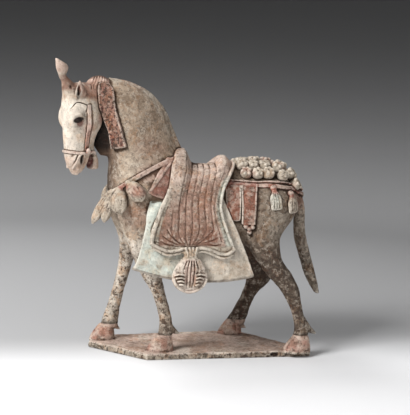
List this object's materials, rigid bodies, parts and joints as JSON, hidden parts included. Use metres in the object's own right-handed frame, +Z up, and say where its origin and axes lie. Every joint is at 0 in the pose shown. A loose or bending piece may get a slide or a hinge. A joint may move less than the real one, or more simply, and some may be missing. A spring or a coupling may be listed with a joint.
{
  "type": "pottery horse figure",
  "caption": "Painted pottery horse standing on a thin slab, head bowed and turned, with saddle, draped cloth, mudguards, breast straps, tassels and crupper.",
  "frame": {"origin": "centre of the whole part's bounding box, on the underside of the slab", "axes": "+Z up, -X towards the head, +X towards the tail, -Y towards the horse's left side"},
  "size_m": [0.4094, 0.1738, 0.419],
  "materials": {
    "painted_pottery": "unglazed low-fired clay under a worn pale slip, with remains of pink and red pigment, grey-brown earth staining and small chips"
  },
  "bodies": {
    "root": {"horse": "painted_pottery"}
  },
  "joints": []
}
